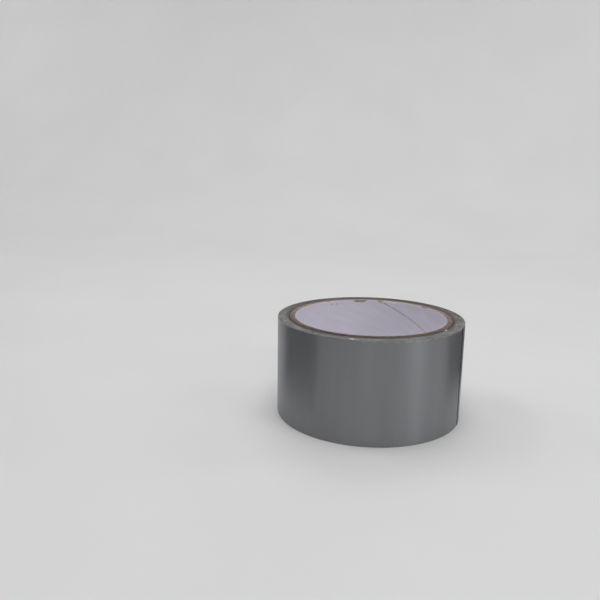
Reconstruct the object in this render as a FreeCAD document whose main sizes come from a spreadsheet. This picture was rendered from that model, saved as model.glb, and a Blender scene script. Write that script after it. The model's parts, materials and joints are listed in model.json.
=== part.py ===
"""A roll of duct tape: a cloth-backed adhesive tape wound on a spiral-wound paper core.

Millimetres and degrees. The roll stands on its lower side face, with its axis along +Z and the origin
where that axis meets the surface it stands on. Seen from above, the tape winds anticlockwise from the
core outwards, and its free end lies at tape_end_angle, counted anticlockwise from +X.
"""

import FreeCAD, Part

import math
import os

import Sketcher

# Driving dimensions, each written once: the alias of its cell, its value and what it is.
DIMENSIONS = [
    ("roll_width", 50.0, "width of the tape and of the core, which are slit from one log in one cut"),
    ("bore_diameter", 76.2, "the three-inch bore that a dispenser's hub enters"),
    ("liner_thickness", 0.3, "white paper strip that lines the bore"),
    ("ply_thickness", 0.6, "one kraft board strip of the core"),
    ("ply_count", 4, "kraft board strips in the core's wall"),
    ("glue_line", 0.02, "glue between two strips of the core"),
    ("strip_lead", 108.7, "height that a strip gains in one turn round the core"),
    ("strip_gap", 0.4, "upright gap where a strip's two edges butt along its seam"),
    ("liner_seam_angle", -82.6, "where the liner's seam meets the lower side face"),
    ("seam_stagger", 72.0, "turn from one strip's seam to the next strip's"),
    ("film_thickness", 0.06, "polyethylene film, the outside of the tape"),
    ("scrim_thickness", 0.05, "woven cloth under the film"),
    ("adhesive_thickness", 0.06, "rubber adhesive under the cloth"),
    ("turns", 36.1, "turns of tape on the core, about ten metres"),
    ("tape_end_angle", -21.5, "where the tape's cut end lies"),
    ("tail_count", 6, "lengths that the loose tail folds in"),
    ("tail_step", 10.0, "tape between two fold lines of the tail"),
    ("tail_lift", 0.03, "air under the loose tail"),
    ("fold_gap", 0.05, "gap at a fold line"),
]

SHEET = "Dimensions"
PARTS_FOLDER = "parts"
CUT_MARGIN = 5.0  # how far a cutting tool runs past what it cuts


def cell(alias):
    """The sheet's cell as an expression."""
    return f"{SHEET}.{alias}"


# Sizes that follow from the driving ones, as expressions that features are bound to.
BORE_RADIUS = f"{cell('bore_diameter')} / 2"
LINER_RADIUS = f"({BORE_RADIUS} + {cell('liner_thickness')})"
PLY_PITCH = f"({cell('ply_thickness')} + {cell('glue_line')})"
CORE_RADIUS = f"({LINER_RADIUS} + {cell('ply_count')} * {PLY_PITCH})"
WEB = f"({cell('film_thickness')} + {cell('scrim_thickness')} + {cell('adhesive_thickness')})"
HALF_TURNS = f"(ceil(2 * {cell('turns')}) - 1)"  # whole half turns that follow the first, partial one
LAST_RADIUS = f"({CORE_RADIUS} + {HALF_TURNS} * {WEB} / 2)"  # inner face of the outermost half turn
LAST_OFFSET = f"(mod({HALF_TURNS}; 2) * {WEB} / 2)"  # its centre, along the line to the tape's end
TAIL_RADIUS = f"({LAST_RADIUS} + {cell('tail_lift')})"
STEP_ANGLE = f"({cell('tail_step')} / ({TAIL_RADIUS} + {WEB}) * 180 / pi)"
GAP_ANGLE = f"({cell('fold_gap')} / ({TAIL_RADIUS} + {WEB}) * 180 / pi)"
TAIL_ANGLE = f"({cell('tail_count')} * {STEP_ANGLE})"

# The tape's layers, from the core outwards: name, and the heights of its two faces in the web.
LAYERS = [
    ("adhesive", "0", cell("adhesive_thickness")),
    ("scrim", cell("adhesive_thickness"), f"({cell('adhesive_thickness')} + {cell('scrim_thickness')})"),
    ("film", f"({cell('adhesive_thickness')} + {cell('scrim_thickness')})", WEB),
]


def value(sheet, expression):
    """What an expression comes to, as a plain number."""
    return float(sheet.evalExpression(expression))


def make_sheet(doc):
    """The spreadsheet that holds the driving dimensions."""
    sheet = doc.addObject("Spreadsheet::Sheet", SHEET)
    for row, (alias, value, meaning) in enumerate(DIMENSIONS, start=1):
        sheet.set(f"A{row}", alias)
        sheet.set(f"B{row}", str(value))
        sheet.setAlias(f"B{row}", alias)
        sheet.set(f"C{row}", meaning)
    doc.recompute()
    return sheet


def origin_plane(body, role):
    """One of a body's own origin features, such as its XY_Plane."""
    return next(feature for feature in body.Origin.OriginFeatures if feature.Role == role)


def named_distance(sketch, kind, ends, name, expression):
    """A distance constraint between two sketch points, bound to an expression."""
    index = sketch.addConstraint(Sketcher.Constraint(kind, *ends, 1.0))
    sketch.renameConstraint(index, name)
    sketch.setExpression(f"Constraints.{name}", expression)


def ring_sketch(body, inner, outer):
    """A strip's section across the core: two circles about the axis."""
    sketch = body.newObject("Sketcher::SketchObject", f"{body.Name}_ring")
    sketch.AttachmentSupport = (origin_plane(body, "XY_Plane"), [""])
    sketch.MapMode = "FlatFace"
    for radius, name, expression in ((1.0, "inner_radius", inner), (2.0, "outer_radius", outer)):
        circle = sketch.addGeometry(Part.Circle(FreeCAD.Vector(), FreeCAD.Vector(0, 0, 1), radius))
        sketch.addConstraint(Sketcher.Constraint("Coincident", circle, 3, -1, 1))
        index = sketch.addConstraint(Sketcher.Constraint("Radius", circle, radius))
        sketch.renameConstraint(index, name)
        sketch.setExpression(f"Constraints.{name}", expression)
    return sketch


def seam_sketch(body, inner, outer):
    """The seam's section: a rectangle across the strip's wall, below the lower side face."""
    sketch = body.newObject("Sketcher::SketchObject", f"{body.Name}_seam_section")
    sketch.AttachmentSupport = (origin_plane(body, "XZ_Plane"), [""])
    sketch.MapMode = "FlatFace"
    corners = [(1, -2), (2, -2), (2, -1), (1, -1)]
    for start, end in zip(corners, corners[1:] + corners[:1]):
        sketch.addGeometry(Part.LineSegment(FreeCAD.Vector(*start, 0), FreeCAD.Vector(*end, 0)))
    for side in range(4):
        sketch.addConstraint(Sketcher.Constraint("Coincident", side, 2, (side + 1) % 4, 1))
        sketch.addConstraint(Sketcher.Constraint("Vertical" if side % 2 else "Horizontal", side))
    wall = f"({outer} - ({inner}))"
    named_distance(sketch, "DistanceX", (-1, 1, 0, 1), "near_side", f"{inner} - {wall}")
    named_distance(sketch, "DistanceX", (0, 1, 0, 2), "across_wall", f"3 * {wall}")
    named_distance(sketch, "DistanceY", (0, 1, -1, 1), "below_face", str(CUT_MARGIN))
    named_distance(sketch, "DistanceY", (1, 1, 1, 2), "gap", cell("strip_gap"))
    return sketch


def make_core_strip(doc, name, inner, outer, seam_angle):
    """One paper strip of the core: a tube wall that is cut through along its rising butt seam."""
    body = doc.addObject("PartDesign::Body", name)
    body.Label = name
    wall = body.newObject("PartDesign::Pad", f"{name}_wall")
    wall.Profile = ring_sketch(body, inner, outer)
    wall.setExpression("Length", cell("roll_width"))
    doc.recompute()
    section = seam_sketch(body, inner, outer)
    seam = body.newObject("PartDesign::SubtractiveHelix", f"{name}_seam")
    seam.Profile = section
    seam.ReferenceAxis = (section, ["V_Axis"])
    seam.Mode = 0  # pitch and height
    seam.LeftHanded = False
    seam.setExpression("Pitch", cell("strip_lead"))
    seam.setExpression("Height", f"{cell('roll_width')} + {2 * CUT_MARGIN}")
    turn_below_face = f"{CUT_MARGIN} / {cell('strip_lead')} * 360"
    body.Placement = FreeCAD.Placement(FreeCAD.Vector(), FreeCAD.Rotation(FreeCAD.Vector(0, 0, 1), 0))
    body.setExpression("Placement.Rotation.Angle", f"{seam_angle} - {turn_below_face}")
    doc.recompute()
    if not body.Shape.Volume < wall.Shape.Volume:
        raise RuntimeError(f"the seam of {name} cut nothing")
    return body


def make_core(doc, ply_count):
    """The core's strips, from the bore outwards: the white liner and the kraft plies."""
    strips = [make_core_strip(doc, "core_liner", BORE_RADIUS, LINER_RADIUS, cell("liner_seam_angle"))]
    for ply in range(1, ply_count + 1):
        inner = f"({LINER_RADIUS} + {ply} * {PLY_PITCH} - {cell('ply_thickness')})"
        outer = f"({LINER_RADIUS} + {ply} * {PLY_PITCH})"
        seam_angle = f"{cell('liner_seam_angle')} + {ply} * {cell('seam_stagger')}"
        strips.append(make_core_strip(doc, f"core_ply_{ply}", inner, outer, seam_angle))
    return strips


def winding_arcs(sheet):
    """The wound web as tangent arcs, each (centre, radius of the web's inner face, from angle, to angle).

    Every half turn is one arc. Its radius is half a web more than the last one's, and its centre moves
    by as much along the line to the tape's end, so neighbouring turns share their faces. The angles run
    on from arc to arc, and the last one ends at tape_end_angle.
    """
    web = value(sheet, WEB)
    half_turns = round(value(sheet, HALF_TURNS))
    end = value(sheet, cell("tape_end_angle"))
    towards_end = FreeCAD.Vector(math.cos(math.radians(end)), math.sin(math.radians(end)), 0)
    centre = FreeCAD.Vector()
    radius = value(sheet, CORE_RADIUS)
    angle = end - 180 * half_turns
    arcs = [(centre, radius, end - 360 * value(sheet, cell("turns")), angle)]
    for left in range(half_turns - 1, -1, -1):
        centre = centre + towards_end * (web / 2 if left % 2 == 0 else -web / 2)
        radius += web / 2
        arcs.append((centre, radius, angle, angle + 180))
        angle += 180
    return arcs


def stretch(arcs, start, end):
    """The part of a run of arcs that lies between two of its angles."""
    return [
        (centre, radius, max(first, start), min(last, end))
        for centre, radius, first, last in arcs
        if first < end and last > start
    ]


def arc_edge(centre, radius, start, end):
    """The edge of an arc about an upright axis."""

    def point(degrees):
        angle = math.radians(degrees)
        return centre + FreeCAD.Vector(math.cos(angle), math.sin(angle), 0) * radius

    return Part.Arc(point(start), point((start + end) / 2), point(end)).toShape()


def make_wound_layer(doc, sheet, name, low, high, arcs):
    """One layer of a stretch of the wound tape, as one solid."""
    low, high = value(sheet, low), value(sheet, high)
    inner = [arc_edge(centre, radius + low, start, end) for centre, radius, start, end in arcs]
    outer = [arc_edge(centre, radius + high, start, end) for centre, radius, start, end in arcs]
    near_end = Part.makeLine(inner[0].Vertexes[0].Point, outer[0].Vertexes[0].Point)
    far_end = Part.makeLine(inner[-1].Vertexes[-1].Point, outer[-1].Vertexes[-1].Point)
    outline = Part.Wire(inner + [far_end] + outer[::-1] + [near_end])
    width = FreeCAD.Vector(0, 0, value(sheet, cell("roll_width")))
    layer = doc.addObject("Part::Feature", name)
    layer.Label = name
    layer.Shape = Part.Face(outline).extrude(width)
    layer.Placement = FreeCAD.Placement()
    return layer


def place_on_last_turn(feature, turn):
    """Puts a feature on the outermost half turn's axis, turned by an expression in degrees."""
    end = cell("tape_end_angle")
    feature.Placement = FreeCAD.Placement(FreeCAD.Vector(), FreeCAD.Rotation(FreeCAD.Vector(0, 0, 1), 0))
    feature.setExpression("Placement.Base.x", f"{LAST_OFFSET} * cos({end})")
    feature.setExpression("Placement.Base.y", f"{LAST_OFFSET} * sin({end})")
    feature.setExpression("Placement.Rotation.Angle", turn)


def make_tail_layer(doc, name, low, high, number):
    """One layer of one length of the loose tail: a sector of a thin tube."""
    turn = (
        f"{cell('tape_end_angle')} - {TAIL_ANGLE} + {number - 1} * {STEP_ANGLE} + {GAP_ANGLE} / 2"
    )
    sector = doc.addObject("Part::Cylinder", f"{name}_sector")
    sector.setExpression("Radius", f"{TAIL_RADIUS} + {high}")
    sector.setExpression("Angle", f"{STEP_ANGLE} - {GAP_ANGLE}")
    hollow = doc.addObject("Part::Cylinder", f"{name}_hollow")
    hollow.setExpression("Radius", f"{TAIL_RADIUS} + {low}")
    for cylinder in (sector, hollow):
        cylinder.setExpression("Height", cell("roll_width"))
        place_on_last_turn(cylinder, turn)
    layer = doc.addObject("Part::Cut", name)
    layer.Label = name
    layer.Base = sector
    layer.Tool = hollow
    return layer


def make_tape(doc, sheet, tail_count):
    """The tape's three layers: the inner turns, the outer turn on them, and the loose tail in its lengths."""
    arcs = winding_arcs(sheet)
    tail_start = value(sheet, f"{cell('tape_end_angle')} - {TAIL_ANGLE} - {GAP_ANGLE} / 2")
    inner_turns = stretch(arcs, arcs[0][2], tail_start - 360)
    outer_turn = stretch(arcs, tail_start - 360, tail_start)
    wound = [
        make_wound_layer(doc, sheet, f"{turns}_{layer}", low, high, run)
        for turns, run in (("inner_turns", inner_turns), ("outer_turn", outer_turn))
        for layer, low, high in LAYERS
    ]
    tail = [
        make_tail_layer(doc, f"tail_{layer}_{number}", low, high, number)
        for number in range(1, tail_count + 1)
        for layer, low, high in LAYERS
    ]
    return wound + tail


def check(doc, pieces):
    """Stops before anything is written if a feature failed or a piece isn't one sound solid."""
    failed = [obj.Label for obj in doc.Objects if {"Invalid", "Error"} & set(obj.State)]
    if failed:
        raise RuntimeError(f"these features failed: {failed}")
    for piece in pieces:
        shape = piece.Shape
        if shape.isNull() or not shape.isValid() or len(shape.Solids) != 1:
            raise RuntimeError(f"{piece.Label} is not one sound solid")


def main():
    doc = FreeCAD.newDocument("duct_tape_roll")
    sheet = make_sheet(doc)
    pieces = make_core(doc, int(value(sheet, cell("ply_count"))))
    pieces += make_tape(doc, sheet, int(value(sheet, cell("tail_count"))))
    doc.recompute()
    check(doc, pieces)
    os.makedirs(PARTS_FOLDER, exist_ok=True)
    for piece in pieces:
        piece.Shape.exportStep(os.path.join(PARTS_FOLDER, f"{piece.Label}.step"))
        print(f"{piece.Label}: {piece.Shape.Volume:.1f} mm3")
    arcs = winding_arcs(sheet)
    length = sum(math.radians(end - start) * radius for _, radius, start, end in arcs)
    print(f"tape: {length / 1000:.2f} m; outside radius {value(sheet, TAIL_RADIUS + '+' + WEB):.2f}")


main()
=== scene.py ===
"""A roll of duct tape, standing on its side face in a pale studio.

The CAD frame holds the core's strips and the tape's three layers as plain solids. This script makes the
pieces that are seen in their place: the spiral-wound paper core with its butt seam and torn lip, every
turn of the tape with its slit edges, and the loose tail whose fold lines follow the CAD joints. Lengths
are metres, and names that end in _mm or _deg hold millimetres or degrees.
"""

from __future__ import annotations

import json
import logging
import math
from dataclasses import dataclass, field
from enum import Enum
from typing import Any, ClassVar

import bpy
import numpy as np
from mathutils import Matrix, Vector

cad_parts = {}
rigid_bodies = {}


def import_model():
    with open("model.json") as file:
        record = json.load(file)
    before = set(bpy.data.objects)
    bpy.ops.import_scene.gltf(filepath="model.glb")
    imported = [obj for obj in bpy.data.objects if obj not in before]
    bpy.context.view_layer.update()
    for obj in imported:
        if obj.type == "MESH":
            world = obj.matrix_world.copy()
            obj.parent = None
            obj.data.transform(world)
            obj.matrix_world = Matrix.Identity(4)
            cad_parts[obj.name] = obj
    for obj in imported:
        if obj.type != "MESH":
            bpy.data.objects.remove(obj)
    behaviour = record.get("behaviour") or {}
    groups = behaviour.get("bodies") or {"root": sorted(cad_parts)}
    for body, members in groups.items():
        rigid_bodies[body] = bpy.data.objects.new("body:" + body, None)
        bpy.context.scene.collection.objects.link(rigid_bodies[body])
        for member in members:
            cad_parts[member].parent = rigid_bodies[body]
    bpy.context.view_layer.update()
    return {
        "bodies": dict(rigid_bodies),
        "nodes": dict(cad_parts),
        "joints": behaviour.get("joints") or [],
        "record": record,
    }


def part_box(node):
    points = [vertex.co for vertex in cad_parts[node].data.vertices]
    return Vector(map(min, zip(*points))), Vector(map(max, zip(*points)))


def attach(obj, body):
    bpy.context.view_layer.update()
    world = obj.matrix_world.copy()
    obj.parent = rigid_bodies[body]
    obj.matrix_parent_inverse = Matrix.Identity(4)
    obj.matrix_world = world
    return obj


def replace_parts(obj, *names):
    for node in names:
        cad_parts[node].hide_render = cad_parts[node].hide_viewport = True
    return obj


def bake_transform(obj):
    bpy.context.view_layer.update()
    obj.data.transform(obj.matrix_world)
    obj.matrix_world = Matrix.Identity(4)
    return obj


LOG = logging.getLogger("duct_tape_roll")
MM = 0.001
STRIP_UV = "strip"
LIP_STEPS = (0.0, 0.08, 0.2, 0.4, 0.65, 1.0)
WARP_SPACING_MM = 1.3
WEFT_SPACING_MM = 2.5


# ---------------------------------------------------------------------------------------------------
# Node and colour helpers
# ---------------------------------------------------------------------------------------------------


def linear(srgb: str) -> tuple[float, float, float, float]:
    """Turns an sRGB colour into the linear colour that shaders work with.

    Args:
        srgb: Six hex digits, such as "8A8C90".

    Returns:
        Linear red, green, blue and an alpha of one.
    """
    channels = [int(srgb[i : i + 2], 16) / 255 for i in (0, 2, 4)]
    red, green, blue = (c / 12.92 if c <= 0.04045 else ((c + 0.055) / 1.055) ** 2.4 for c in channels)
    return red, green, blue, 1.0


def add_node(
    tree: bpy.types.NodeTree,
    kind: str,
    settings: dict[str, Any] | None = None,
    stops: tuple[tuple[float, str], ...] = (),
    feeds: tuple[str, bpy.types.NodeSocket] | None = None,
    **inputs: Any,
) -> bpy.types.Node:
    """Adds a node, sets its properties, and fills its sockets with values or links.

    Args:
        tree: The node tree that gets the node.
        kind: The node's type, such as "ShaderNodeTexNoise".
        settings: Property names and their values.
        stops: Positions from 0 to 1 with their sRGB colours, for a node that has a colour ramp.
        feeds: The output that is used, and the socket of another node that it goes into.
        **inputs: A socket's identifier, with spaces as underscores, and its value or the socket to link.

    Returns:
        The new node.
    """
    node = tree.nodes.new(kind)
    for name, setting in (settings or {}).items():
        setattr(node, name, setting)
    for number, (position, colour) in enumerate(stops):
        ramp = node.color_ramp.elements
        element = ramp[number] if number < len(ramp) else ramp.new(position)
        element.position = position
        element.color = linear(colour)
    sockets = {s.identifier.replace(" ", "_"): s for s in node.inputs}
    for name, given in inputs.items():
        if isinstance(given, bpy.types.NodeSocket):
            tree.links.new(given, sockets[name])
        else:
            sockets[name].default_value = given
    if feeds is not None:
        output, fed = feeds
        tree.links.new(node.outputs[output], fed)
    return node


def per_metre(size_mm: float) -> float:
    """The noise scale that gives features of a size, on coordinates in metres."""
    return 1 / (size_mm * MM)


def wave_scale(spacing_mm: float) -> float:
    """The wave texture scale that gives one band every spacing, on coordinates in metres."""
    return 2 * math.pi / (20 * spacing_mm * MM)


def yarn_grid(
    tree: bpy.types.NodeTree, strip: bpy.types.NodeSocket, operation: str
) -> bpy.types.NodeSocket:
    """The cloth's grid as it shows through the layers on it.

    Args:
        tree: The material's node tree.
        strip: The coordinate along and across the strip.
        operation: How the two families of yarns are put together, "ADD" or "MAXIMUM".

    Returns:
        A socket that is high over the yarns and 0 between them.
    """
    warp, weft = (
        add_node(
            tree, "ShaderNodeTexWave", {"bands_direction": counted_along}, Vector=strip,
            Scale=wave_scale(spacing_mm), Distortion=0.6, Detail=1.0, Phase_Offset=math.pi,
        ).outputs["Fac"]
        for counted_along, spacing_mm in (("Y", WARP_SPACING_MM), ("X", WEFT_SPACING_MM))
    )
    both = add_node(tree, "ShaderNodeMath", {"operation": operation}, Value=warp, Value_001=weft)
    return both.outputs["Value"]


# ---------------------------------------------------------------------------------------------------
# Finishes
# ---------------------------------------------------------------------------------------------------


@dataclass(frozen=True)
class Finish:
    """What a surface is made of. A finish makes its material once and hands the same one out again.

    Attributes:
        roughness: How matt the surface is, where no node says so.
        ior: Its index of refraction.
    """

    roughness: float = 0.5
    ior: float = 1.5

    def material(self) -> bpy.types.Material:
        """The finish's material, made the first time it is asked for.

        Returns:
            The material, named for what it is.
        """
        name = type(self).__name__
        found = bpy.data.materials.get(name)
        if found is not None:
            return found
        made = bpy.data.materials.new(name)
        made.use_nodes = True
        shader = made.node_tree.nodes["Principled BSDF"]
        shader.inputs["Roughness"].default_value = self.roughness
        shader.inputs["IOR"].default_value = self.ior
        self.dress(made.node_tree, shader)
        return made

    def dress(self, tree: bpy.types.NodeTree, shader: bpy.types.Node) -> None:
        """Adds the nodes that feed the shader.

        Args:
            tree: The material's node tree.
            shader: Its Principled BSDF.
        """
        raise NotImplementedError

    @staticmethod
    def show(
        tree: bpy.types.NodeTree,
        shader: bpy.types.Node,
        tone: bpy.types.NodeSocket,
        stops: tuple[tuple[float, str], ...],
        height: bpy.types.NodeSocket | None = None,
        relief_mm: float = 0.0,
        strength: float = 1.0,
    ) -> None:
        """Colours the surface by one factor and raises it by another.

        Args:
            tree: The material's node tree.
            shader: Its Principled BSDF.
            tone: The factor that picks the colour.
            stops: The colours along that factor.
            height: The factor that raises the surface, if it has any relief.
            relief_mm: How high a factor of one stands.
            strength: How much of the relief is seen.
        """
        feeds = ("Color", shader.inputs["Base Color"])
        add_node(tree, "ShaderNodeValToRGB", stops=stops, feeds=feeds, Fac=tone)
        if height is not None:
            feeds = ("Normal", shader.inputs["Normal"])
            add_node(
                tree, "ShaderNodeBump", feeds=feeds, Height=height, Strength=strength, Distance=relief_mm * MM
            )


@dataclass(frozen=True)
class MottledFinish(Finish):
    """A plain stuff with soft patches between two tones.

    Attributes:
        dark: The darker tone.
        pale: The paler tone.
        patch_mm: The size of the patches.
        detail: How many octaves of finer patches are laid over them.
        dark_until: Where on the noise the dark tone ends.
        pale_from: Where on it the pale tone begins.
    """

    dark: str = "808080"
    pale: str = "909090"
    patch_mm: float = 1.0
    detail: float = 4.0
    dark_until: float = 0.3
    pale_from: float = 0.7

    def dress(self, tree: bpy.types.NodeTree, shader: bpy.types.Node) -> None:
        """Sets the patches.

        Args:
            tree: The material's node tree.
            shader: Its Principled BSDF.
        """
        space = add_node(tree, "ShaderNodeTexCoord").outputs["Object"]
        patches = add_node(
            tree, "ShaderNodeTexNoise", Vector=space, Scale=per_metre(self.patch_mm), Detail=self.detail
        ).outputs["Fac"]
        stops = ((self.dark_until, self.dark), (self.pale_from, self.pale))
        self.show(tree, shader, patches, stops)


@dataclass(frozen=True)
class SilverPolyethylene(Finish):
    """Calendered low-density polyethylene film, pigmented with aluminium flake.

    The flake makes it a soft silver grey with a broad satin highlight. The film is so thin that the
    cloth under it shows as a very faint grid, and winding leaves soft streaks across the tape.
    """

    ior: float = 1.51
    grey: str = "8D8E91"
    pale_streak: str = "909194"
    dark_streak: str = "8A8B8E"
    streak_mm: float = 9.0
    streak_squash: float = 0.08
    haze_mm: float = 3.5
    glossiest: float = 0.37
    dullest: float = 0.43
    grain_mm: float = 0.25
    grain_share: float = 0.8
    relief_mm: float = 0.006

    def dress(self, tree: bpy.types.NodeTree, shader: bpy.types.Node) -> None:
        """Sets the film's grey, its satin gloss, the telegraphed cloth and the winding streaks.

        Args:
            tree: The material's node tree.
            shader: Its Principled BSDF.
        """
        shader.inputs["Metallic"].default_value = 0.55
        shader.inputs["Specular IOR Level"].default_value = 0.25
        shader.inputs["Anisotropic"].default_value = 0.75
        shader.inputs["Anisotropic Rotation"].default_value = 0.25
        along = {"direction_type": "UV_MAP", "uv_map": STRIP_UV}
        add_node(tree, "ShaderNodeTangent", along, feeds=("Tangent", shader.inputs["Tangent"]))
        strip = add_node(tree, "ShaderNodeUVMap", {"uv_map": STRIP_UV}).outputs["UV"]
        squash = (1.0, self.streak_squash, 1.0)
        drawn = add_node(tree, "ShaderNodeMapping", Vector=strip, Scale=squash).outputs["Vector"]
        streaks = add_node(
            tree, "ShaderNodeTexNoise", Vector=drawn, Scale=per_metre(self.streak_mm), Detail=3.0
        ).outputs["Fac"]
        haze = add_node(
            tree, "ShaderNodeTexNoise", Vector=strip, Scale=per_metre(self.haze_mm), Detail=4.0
        ).outputs["Fac"]
        add_node(
            tree, "ShaderNodeMapRange", feeds=("Result", shader.inputs["Roughness"]), Value=haze,
            From_Min=0.25, From_Max=0.75, To_Min=self.glossiest, To_Max=self.dullest,
        )
        grain = add_node(
            tree, "ShaderNodeTexNoise", Vector=strip, Scale=per_metre(self.grain_mm), Detail=2.0
        ).outputs["Fac"]
        height = add_node(
            tree, "ShaderNodeMath", {"operation": "MULTIPLY_ADD"}, Value=grain, Value_001=self.grain_share,
            Value_002=yarn_grid(tree, strip, "ADD"),
        ).outputs["Value"]
        stops = ((0.3, self.dark_streak), (0.5, self.grey), (0.7, self.pale_streak))
        self.show(tree, shader, streaks, stops, height, self.relief_mm, strength=0.35)


@dataclass(frozen=True)
class SlitEdge(Finish):
    """The slit edges of the wound layers: broken by the knife, darker next to the core, and paler in an outer
    ring and in front as a painted highlight.

    Single turns are too fine to be told apart, so the knife's marks are drawn over several of them.

    Attributes:
        scuff_mm: The length of the knife's marks along the turns.
        groove_mm: Their width across the turns.
        dusty_radius_mm: The radius up to which the edges take their darker inner tones, which hide the marks.
        clean_radius_mm: The radius from which the paler outer ring, a painted highlight, takes over.
        burnish_slope: What the tone gains for each metre towards the back; being negative, it paints the
            front paler as a painted highlight.
    """

    roughness: float = 0.6
    ior: float = 1.51
    pale: str = "BEBCB9"
    middle: str = "7E7C7A"
    dark: str = "524F4D"
    inner_dark: str = "272423"
    scuff_mm: float = 6.0
    groove_mm: float = 0.7
    dusty_radius_mm: float = 41.6
    clean_radius_mm: float = 43.8
    burnish_slope: float = -3.4

    def dress(self, tree: bpy.types.NodeTree, shader: bpy.types.Node) -> None:
        """Sets the broken grey, in streaks that follow the turns, darker next to the core, with a painted
        highlight that makes the outer ring and the front paler.

        Args:
            tree: The material's node tree.
            shader: Its Principled BSDF.
        """
        space = add_node(tree, "ShaderNodeTexCoord").outputs["Object"]
        flat = add_node(tree, "ShaderNodeMapping", Vector=space, Scale=(1.0, 1.0, 0.0)).outputs["Vector"]
        radius = add_node(tree, "ShaderNodeVectorMath", {"operation": "LENGTH"}, Vector=flat).outputs["Value"]
        steepness = self.scuff_mm / self.groove_mm
        rising = add_node(
            tree, "ShaderNodeMath", {"operation": "MULTIPLY"}, Value=radius, Value_001=steepness
        ).outputs["Value"]
        lifted = add_node(tree, "ShaderNodeCombineXYZ", Z=rising).outputs["Vector"]
        along_turns = add_node(tree, "ShaderNodeVectorMath", Vector=flat, Vector_001=lifted).outputs["Vector"]
        scuffs = add_node(
            tree, "ShaderNodeTexNoise", Vector=along_turns, Scale=per_metre(self.scuff_mm), Detail=5.0,
            Roughness=0.6,
        ).outputs["Fac"]
        # painted highlight: with the negative slope the tone rises towards the front (-Y), so the front of
        # the side face is paler
        back = add_node(tree, "ShaderNodeSeparateXYZ", Vector=flat).outputs["Y"]
        front_highlight = add_node(
            tree, "ShaderNodeMath", {"operation": "MULTIPLY_ADD"}, Value=back, Value_001=self.burnish_slope,
            Value_002=scuffs,
        ).outputs["Value"]
        # the outer ring's greys, paler than the inner zone as a painted highlight, and paler still in front
        ring_stops = ((0.34, self.dark), (0.5, self.middle), (0.7, self.pale))
        clean = add_node(tree, "ShaderNodeValToRGB", stops=ring_stops, Fac=front_highlight).outputs["Color"]
        # the darker inner zone next to the core
        inner_dark_stops = ((0.3, self.inner_dark), (0.7, self.dark))
        inner_dark_tone = add_node(tree, "ShaderNodeValToRGB", stops=inner_dark_stops, Fac=scuffs).outputs["Color"]
        # blends by radius from the darker inner zone to the painted-highlight ring
        ring_share = add_node(
            tree, "ShaderNodeMapRange", Value=radius, From_Min=self.dusty_radius_mm * MM,
            From_Max=self.clean_radius_mm * MM, To_Min=0.0, To_Max=1.0,
        ).outputs["Result"]
        add_node(
            tree, "ShaderNodeMix", {"data_type": "RGBA"}, feeds=("Result", shader.inputs["Base Color"]),
            Factor_Float=ring_share, A_Color=inner_dark_tone, B_Color=clean,
        )


@dataclass(frozen=True)
class SlitFilmEdge(SlitEdge):
    """The cut edge of the film: knife-slit polyethylene, the palest of the layers."""


@dataclass(frozen=True)
class DustyAdhesiveEdge(SlitEdge):
    """The cut edge of the cloth and the adhesive, which picks up grime: dull and dark."""

    pale: str = "94918C"
    middle: str = "5D5B58"
    dark: str = "3D3B39"


@dataclass(frozen=True)
class RubberAdhesive(Finish):
    """Filled natural rubber adhesive, spread on the cloth: a warm grey, tacky and slightly wet-looking.

    It is thinnest over the yarns, so the cloth shows through it as a paler grid.
    """

    roughness: float = 0.38
    ior: float = 1.52
    over_yarn: str = "BCBAB4"
    pale: str = "A19F99"
    dark: str = "94928C"
    mottle_mm: float = 2.0
    mottle_share: float = 0.3
    legs_mm: float = 0.35
    relief_mm: float = 0.02

    def dress(self, tree: bpy.types.NodeTree, shader: bpy.types.Node) -> None:
        """Sets the grid of the cloth in the colour, and the legs that peeling pulls up.

        Args:
            tree: The material's node tree.
            shader: Its Principled BSDF.
        """
        strip = add_node(tree, "ShaderNodeUVMap", {"uv_map": STRIP_UV}).outputs["UV"]
        mottle = add_node(
            tree, "ShaderNodeTexNoise", Vector=strip, Scale=per_metre(self.mottle_mm), Detail=4.0
        ).outputs["Fac"]
        cloth = add_node(
            tree, "ShaderNodeMath", {"operation": "MULTIPLY_ADD"}, Value=mottle, Value_001=self.mottle_share,
            Value_002=yarn_grid(tree, strip, "MAXIMUM"),
        ).outputs["Value"]
        stops = ((0.4, self.dark), (0.85, self.pale), (1.0, self.over_yarn))
        legs = add_node(
            tree, "ShaderNodeTexNoise", Vector=strip, Scale=per_metre(self.legs_mm), Detail=3.0
        ).outputs["Fac"]
        self.show(tree, shader, cloth, stops, legs, self.relief_mm, strength=0.6)


@dataclass(frozen=True)
class CottonYarn(Finish):
    """Spun cotton-polyester yarn of the scrim: off-white, matt, with the twist of its fibres."""

    roughness: float = 0.85
    pale: str = "C9C5BA"
    dark: str = "9E998C"
    twist_mm: float = 0.22
    relief_mm: float = 0.02

    def dress(self, tree: bpy.types.NodeTree, shader: bpy.types.Node) -> None:
        """Sets the fibres' twist as fine diagonal bands in colour and relief.

        Args:
            tree: The material's node tree.
            shader: Its Principled BSDF.
        """
        shader.inputs["Sheen Weight"].default_value = 0.2
        space = add_node(tree, "ShaderNodeTexCoord").outputs["Object"]
        twist = add_node(
            tree, "ShaderNodeTexWave", {"bands_direction": "DIAGONAL"}, Vector=space,
            Scale=wave_scale(self.twist_mm), Distortion=2.0, Detail=2.0,
        ).outputs["Fac"]
        stops = ((0.1, self.dark), (0.8, self.pale))
        self.show(tree, shader, twist, stops, twist, self.relief_mm, strength=0.7)


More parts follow.
